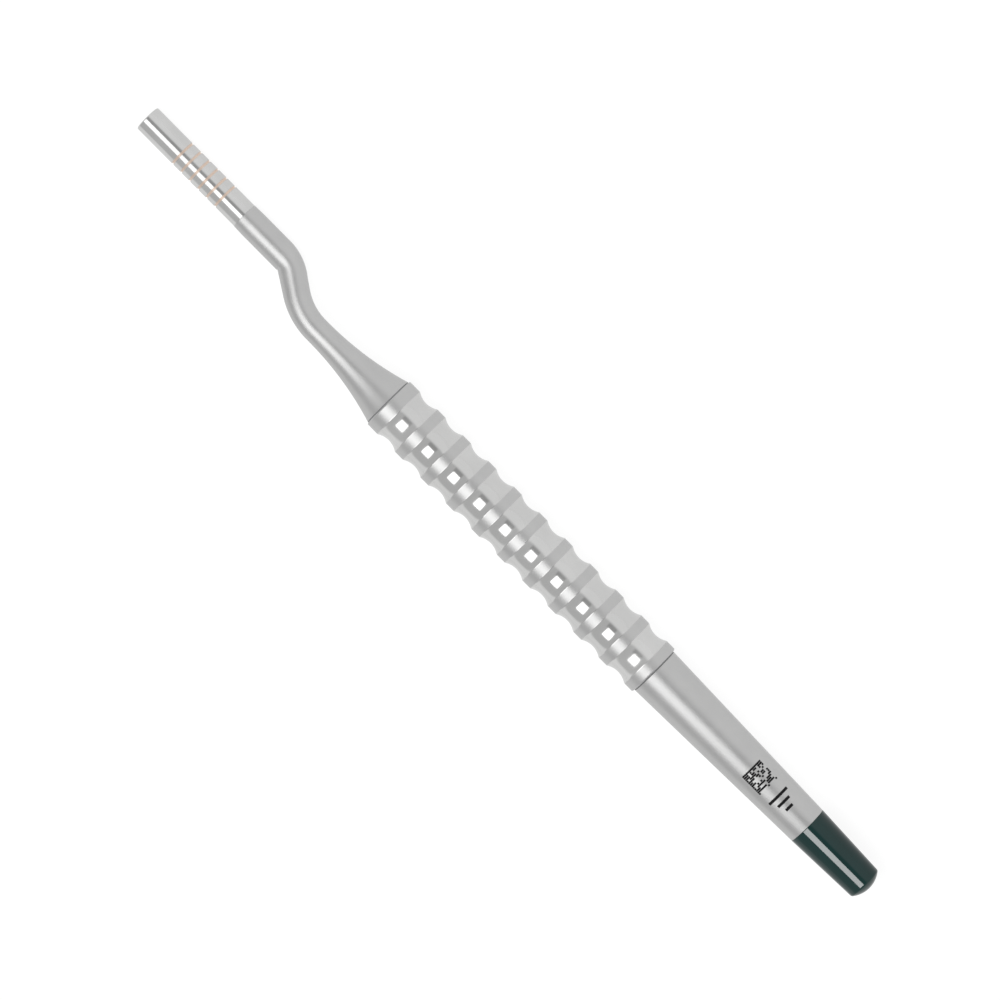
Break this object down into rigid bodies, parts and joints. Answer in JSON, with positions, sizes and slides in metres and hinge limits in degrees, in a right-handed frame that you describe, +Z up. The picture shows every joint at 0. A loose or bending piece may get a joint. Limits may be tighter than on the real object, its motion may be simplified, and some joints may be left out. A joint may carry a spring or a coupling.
{
  "type": "bayonet bone condenser",
  "caption": "Rigid dental hand instrument: round polished tip with depth grooves, bayonet shank, ringed grip, tapered tail and green strike cap.",
  "frame": {"origin": "middle of the bounding box in X and Y, on the plane the instrument lies on", "axes": "+X along the handle towards the working tip, +Z up from the plane it lies on; the bayonet has rolled to -Y until the shank touches that plane"},
  "size_m": [0.1758, 0.0116, 0.01],
  "materials": {
    "polished_steel": "mirror-polished stainless steel",
    "mark_colour": "thin salmon enamel in the depth grooves",
    "satin_steel": "fine bead-blasted satin stainless steel",
    "grip_steel": "satin rings with polished hollows between them",
    "inner_steel": "plain turned steel",
    "seal_rubber": "dark silicone rubber",
    "cap_green": "high-gloss dark green"
  },
  "bodies": {
    "root": {"working_tip": "polished_steel", "depth_mark_enamel": "mark_colour", "bayonet_shank": "satin_steel", "shank_dowel": "inner_steel", "anti_turn_pin": "inner_steel", "front_seal": "seal_rubber", "grip_sleeve": "grip_steel", "tie_rod": "inner_steel", "rear_seal": "seal_rubber", "tail_sleeve": "satin_steel", "lock_washer": "inner_steel", "clamp_nut": "inner_steel", "cap_seal": "seal_rubber", "strike_cap": "cap_green"}
  },
  "joints": []
}
